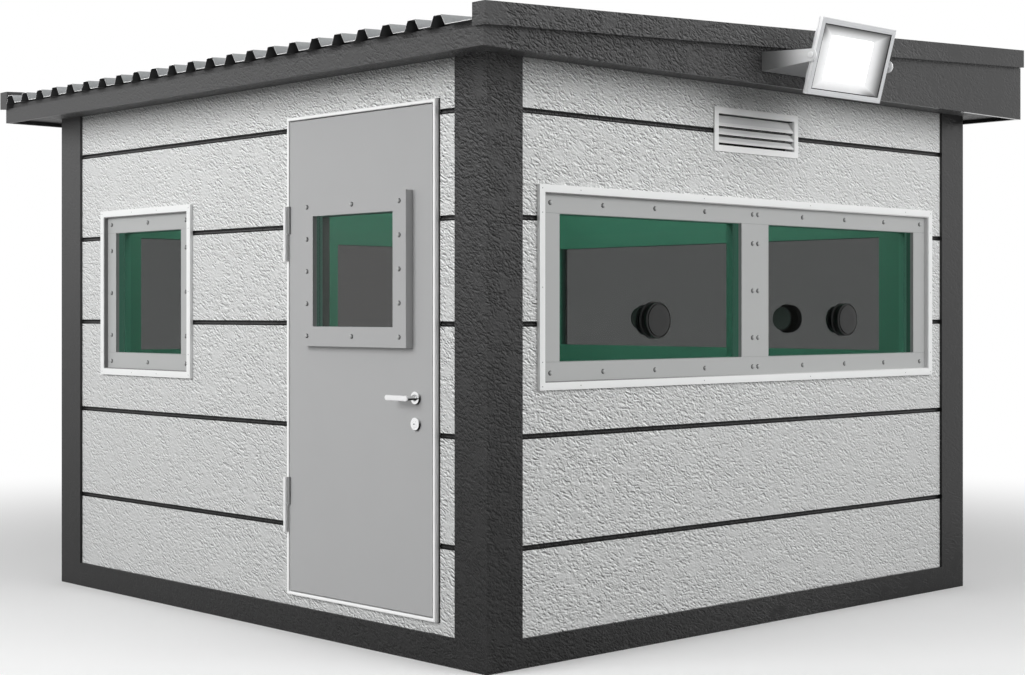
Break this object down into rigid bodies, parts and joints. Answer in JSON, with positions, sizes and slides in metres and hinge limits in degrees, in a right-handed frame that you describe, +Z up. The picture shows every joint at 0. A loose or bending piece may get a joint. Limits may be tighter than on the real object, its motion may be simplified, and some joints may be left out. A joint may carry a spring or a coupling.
{
  "type": "security guard booth",
  "caption": "Square walk-in guard booth with wide glazed walls, round ports, an outward-opening steel door, a mono-pitch corrugated roof and a tilting floodlight.",
  "frame": {"origin": "centre of the underside of the base, on the ground", "axes": "+Z up; -Y towards the front wall with the vent and the floodlight; -X towards the door wall"},
  "size_m": [3.7361, 4.0632, 2.7411],
  "materials": {
    "light_panel": "embossed light grey paint",
    "dark_panel": "embossed dark grey paint",
    "floor_cover": "dark studded floor covering",
    "white_trim": "smooth white paint",
    "grey_frame": "satin mid grey paint",
    "tinted_glass": "thick tinted glass",
    "black_plug": "satin black",
    "vent_paint": "satin light grey paint",
    "ceiling_paint": "light grey paint",
    "roof_zinc": "light grey coated sheet",
    "door_paint": "satin grey paint",
    "satin_steel": "satin steel",
    "chrome": "polished",
    "lamp_grey": "silver grey paint",
    "lamp_silver": "bright reflector",
    "lamp_lens": "glowing white diffuser"
  },
  "bodies": {
    "cabin": {"base_frame": "dark_panel", "floor": "floor_cover", "corner_posts": "dark_panel", "front_wall": "light_panel", "back_wall": "light_panel", "right_wall": "light_panel", "door_wall_rear": "light_panel", "door_wall_front": "light_panel", "door_wall_over": "light_panel", "door_wall_under": "light_panel", "vent_grille": "vent_paint", "ceiling": "ceiling_paint", "front_fascia": "dark_panel", "back_fascia": "dark_panel", "low_fascia": "dark_panel", "high_fascia": "dark_panel", "purlins": "dark_panel", "front_flashing": "dark_panel", "back_flashing": "dark_panel", "roof_sheet": "roof_zinc", "door_casing": "white_trim", "hinge_casing_halves": "satin_steel", "floodlight_bracket": "lamp_grey", "front_window_trim": "white_trim", "front_window_frame": "grey_frame", "front_window_glass": "tinted_glass", "front_window_ports": "black_plug", "back_window_trim": "white_trim", "back_window_frame": "grey_frame", "back_window_glass": "tinted_glass", "back_window_ports": "black_plug", "right_window_trim": "white_trim", "right_window_frame": "grey_frame", "right_window_glass": "tinted_glass", "right_window_ports": "black_plug", "left_window_trim": "white_trim", "left_window_frame": "grey_frame", "left_window_glass": "tinted_glass"},
    "door": {"door_leaf": "door_paint", "door_window_frame": "door_paint", "door_window_glass": "tinted_glass", "door_lock": "satin_steel", "hinge_leaf_halves": "satin_steel"},
    "lever": {"door_handle": "chrome"},
    "lamp_head": {"floodlight_frame": "lamp_grey", "floodlight_housing": "lamp_grey", "floodlight_reflector": "lamp_silver", "floodlight_lens": "lamp_lens"}
  },
  "joints": [
    {"name": "door_swing", "type": "hinge", "parent": "cabin", "child": "door", "pos_m": [-1.6665, -0.351, 1.15], "axis": [0, 0, -1], "range_deg": [0, 110]},
    {"name": "lever_turn", "type": "hinge", "parent": "door", "child": "lever", "pos_m": [-1.654, -1.232, 1.057], "axis": [-1, 0, 0], "range_deg": [0, 45], "stiffness_Nm_per_rad": 2, "springref_deg": -34.38},
    {"name": "floodlight_tilt", "type": "hinge", "parent": "cabin", "child": "lamp_head", "pos_m": [0.0445, -2.12, 2.488], "axis": [1, 0, 0], "range_deg": [-60, 70]}
  ]
}
